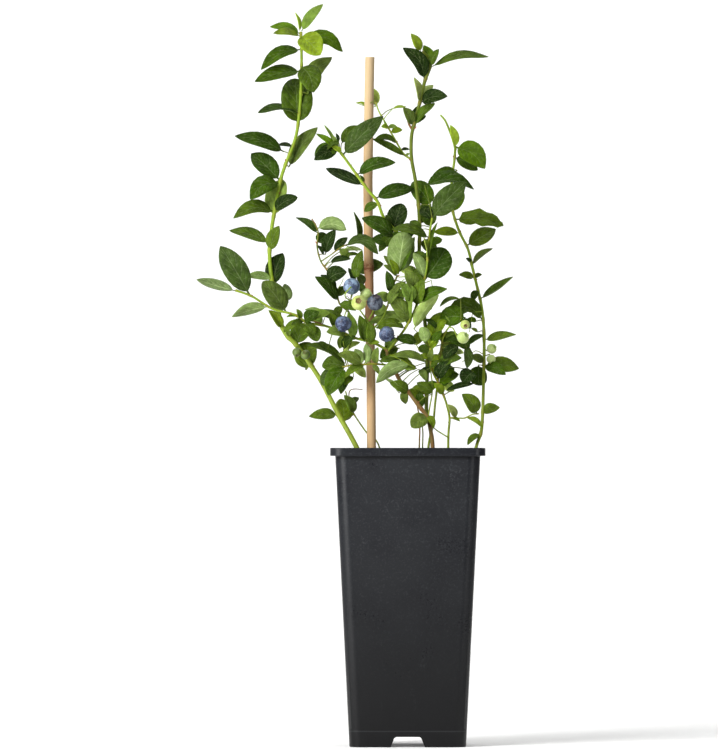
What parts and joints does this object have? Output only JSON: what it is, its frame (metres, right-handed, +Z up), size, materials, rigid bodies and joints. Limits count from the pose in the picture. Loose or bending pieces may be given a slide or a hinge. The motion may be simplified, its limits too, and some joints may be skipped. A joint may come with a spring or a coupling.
{
  "type": "potted blueberry bush",
  "caption": "Young blueberry bush with arching green canes, pointed leaves, ripe and unripe berries and a bamboo cane, in a deep square nursery pot.",
  "frame": {"origin": "centre of the bottom of the bush's bounding box, on the ground; the pot's own axis is 47.5 mm toward +X from it", "axes": "+Z up along the pot and the cane; +X to the right across the pot's front face; +Y away from the viewer, through the pot's depth"},
  "size_m": [0.3119, 0.15, 0.7183],
  "materials": {
    "pot_plastic": "dark charcoal satin moulded plastic with a fine grain",
    "potting_soil": "dark brown bark and peat compost, matt and crumbly",
    "bamboo": "tan split-free bamboo cane, satin, browner at its node",
    "green_stem": "smooth yellow-green young bark",
    "brown_stem": "reddish brown woody bark",
    "leaf": "glossy dark green above, pale grey-green below",
    "ripe_berry": "blue skin under a pale waxy bloom",
    "dark_berry": "dark blue skin with thin bloom",
    "green_berry": "unripe pale yellow-green skin",
    "olive_berry": "unripe olive-green skin"
  },
  "bodies": {
    "root": {"nursery_pot": "pot_plastic", "potting_soil": "potting_soil", "cane_stake": "bamboo", "left_cane": "green_stem", "woody_stem": "brown_stem", "tall_stem": "green_stem", "centre_cane": "green_stem", "right_shoot": "green_stem", "right_cane": "green_stem", "rear_twig": "green_stem", "left_twig": "brown_stem", "centre_stem": "green_stem", "low_twig": "green_stem", "upper_left_twig": "green_stem", "fruit_spur": "green_stem", "middle_twig": "green_stem", "crossing_stem": "green_stem", "thin_twig": "green_stem", "side_twig": "green_stem", "upper_side_twig": "green_stem", "leaf_top_right": "leaf", "leaf_top_left": "leaf", "leaf_arched_right": "leaf", "leaf_curled_left": "leaf", "leaf_drooping_left": "leaf", "leaf_grey_right": "leaf", "leaf_round_rear": "leaf", "leaf_long_left": "leaf", "leaf_inner_right": "leaf", "leaf_upper_fan": "leaf", "leaf_lower_fan": "leaf", "leaf_arched_left": "leaf", "leaf_wavy_left": "leaf", "leaf_broad_left": "leaf", "leaf_far_left": "leaf", "leaf_over_stake": "leaf", "leaf_right_of_stake": "leaf", "leaf_left_of_stake": "leaf", "leaf_pale_centre": "leaf", "leaf_dark_crown": "leaf", "leaf_long_right": "leaf", "leaf_short_right": "leaf", "leaf_round_right": "leaf", "leaf_broad_centre": "leaf", "leaf_ragged_right": "leaf", "leaf_lower_right": "leaf", "leaf_broad_right": "leaf", "leaf_far_right": "leaf", "berry_upper_blue": "ripe_berry", "berry_left_blue": "ripe_berry", "berry_green_front": "green_berry", "berry_green_rear": "green_berry", "berry_dark": "dark_berry", "berry_right_blue": "ripe_berry", "berry_pale_lower": "green_berry", "berry_pale_upper": "green_berry", "berry_right_upper": "green_berry", "berry_right_lower": "green_berry", "berry_left_front": "olive_berry", "berry_left_rear": "olive_berry"}
  },
  "joints": []
}
